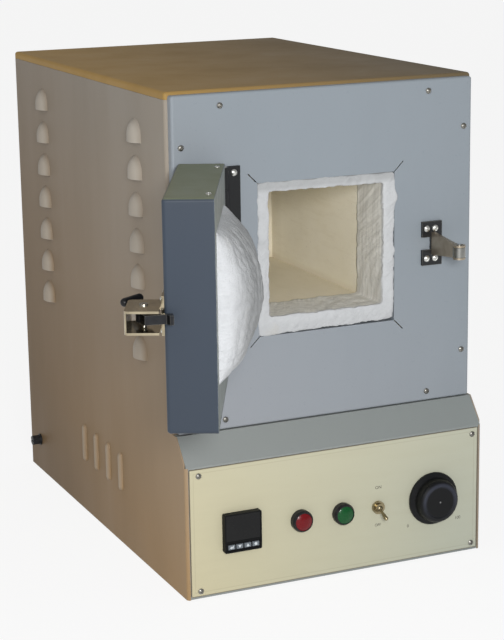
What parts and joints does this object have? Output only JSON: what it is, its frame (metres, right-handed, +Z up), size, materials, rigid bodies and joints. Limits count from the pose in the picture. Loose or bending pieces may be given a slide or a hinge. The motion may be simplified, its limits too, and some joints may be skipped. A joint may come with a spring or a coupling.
{
  "type": "muffle furnace",
  "caption": "Bench-top laboratory muffle furnace: square ceramic chamber behind a side-hung insulated door that stands open, with a control console below.",
  "frame": {"origin": "on the rest plane, midway across, straight below the casing's front plane", "axes": "+X to the viewer's right, +Y to the back, +Z up"},
  "size_m": [0.547, 0.8369, 0.6],
  "materials": {
    "casing_paint": "satin",
    "plate_paint": "satin",
    "ledge_paint": "satin",
    "frame_paint": "matte",
    "panel_face": "satin",
    "door_paint": "satin",
    "liner_steel": "satin",
    "hinge_black": "satin",
    "screw_steel": "satin",
    "pin_steel": "polished",
    "latch_chrome": "polished",
    "keeper_bronze": "satin",
    "roller_steel": "satin",
    "grip_black": "satin",
    "fibre_board": "matte",
    "fibre_white": "matte",
    "muffle_ceramic": "matte",
    "heating_wire": "matte",
    "probe_steel": "satin",
    "terminal_plastic": "satin",
    "relay_plastic": "satin",
    "gland_plastic": "satin",
    "controller_plastic": "satin",
    "window_plastic": "gloss",
    "key_plastic": "satin",
    "bezel_plastic": "satin",
    "red_lens": "gloss",
    "green_lens": "gloss",
    "toggle_metal": "satin",
    "regulator_case": "satin",
    "knob_plastic": "satin"
  },
  "bodies": {
    "furnace": {"left_side_panel": "casing_paint", "right_side_panel": "casing_paint", "top_cover": "casing_paint", "rear_panel": "casing_paint", "base_pan": "frame_paint", "console_fascia": "ledge_paint", "control_panel": "panel_face", "panel_screws": "screw_steel", "front_plate": "plate_paint", "front_plate_screws": "screw_steel", "shelf": "frame_paint", "inner_shell": "liner_steel", "insulation_top": "fibre_board", "insulation_bottom": "fibre_board", "insulation_left": "fibre_board", "insulation_right": "fibre_board", "insulation_rear": "fibre_board", "muffle": "muffle_ceramic", "heating_coil": "heating_wire", "fibre_collar": "fibre_white", "thermocouple": "probe_steel", "terminal_block": "terminal_plastic", "relay": "relay_plastic", "fuse_holder": "gland_plastic", "cable_gland": "gland_plastic", "controller_housing": "controller_plastic", "controller_window": "window_plastic", "red_lamp_bezel": "bezel_plastic", "red_lamp_lens": "red_lens", "green_lamp_bezel": "bezel_plastic", "green_lamp_lens": "green_lens", "toggle_body": "toggle_metal", "regulator": "regulator_case", "upper_fixed_leaf": "hinge_black", "lower_fixed_leaf": "hinge_black", "upper_hinge_pin": "pin_steel", "lower_hinge_pin": "pin_steel", "hinge_screws": "screw_steel", "keeper": "keeper_bronze", "keeper_pin": "pin_steel", "keeper_screws": "screw_steel"},
    "door": {"door_shell": "door_paint", "door_inner_plate": "liner_steel", "door_insulation": "fibre_board", "door_pad": "fibre_white", "door_screws": "screw_steel", "upper_door_leaf": "hinge_black", "lower_door_leaf": "hinge_black", "latch_plate": "latch_chrome", "latch_housing": "latch_chrome", "latch_pivot_pin": "pin_steel"},
    "lever": {"latch_lever": "latch_chrome", "latch_grip": "grip_black"},
    "roller": {"keeper_roller": "roller_steel"},
    "knob": {"regulator_knob": "knob_plastic"},
    "toggle": {"toggle_lever": "toggle_metal"},
    "key_1": {"controller_key_1": "key_plastic"},
    "key_2": {"controller_key_2": "key_plastic"},
    "key_3": {"controller_key_3": "key_plastic"},
    "key_4": {"controller_key_4": "key_plastic"}
  },
  "joints": [
    {"name": "door_hinge", "type": "hinge", "parent": "furnace", "child": "door", "pos_m": [-0.136, -0.0175, 0.397], "axis": [0, 0, 1], "range_deg": [-1.5, 116]},
    {"name": "lever_turn", "type": "hinge", "parent": "door", "child": "lever", "pos_m": [-0.30988, -0.20862, 0.397], "axis": [0, 0, 1], "range_deg": [-16, 0]},
    {"name": "roller_spin", "type": "hinge", "parent": "furnace", "child": "roller", "pos_m": [0.142, -0.076, 0.397], "axis": [0, 0, 1], "continuous": true},
    {"name": "knob_turn", "type": "hinge", "parent": "furnace", "child": "knob", "pos_m": [0.131, -0.045, 0.078], "axis": [0, 1, 0], "range_deg": [0, 300]},
    {"name": "toggle_flip", "type": "hinge", "parent": "furnace", "child": "toggle", "pos_m": [0.054, -0.0404, 0.078], "axis": [-1, 0, 0], "range_deg": [0, 48]},
    {"name": "key_press_1", "type": "slide", "parent": "furnace", "child": "key_1", "axis": [0, 1, 0], "range_m": [0, 0.0005], "stiffness_N_per_m": 500, "springref_m": -0.0005},
    {"name": "key_press_2", "type": "slide", "parent": "furnace", "child": "key_2", "axis": [0, 1, 0], "range_m": [0, 0.0005], "stiffness_N_per_m": 500, "springref_m": -0.0005},
    {"name": "key_press_3", "type": "slide", "parent": "furnace", "child": "key_3", "axis": [0, 1, 0], "range_m": [0, 0.0005], "stiffness_N_per_m": 500, "springref_m": -0.0005},
    {"name": "key_press_4", "type": "slide", "parent": "furnace", "child": "key_4", "axis": [0, 1, 0], "range_m": [0, 0.0005], "stiffness_N_per_m": 500, "springref_m": -0.0005}
  ]
}
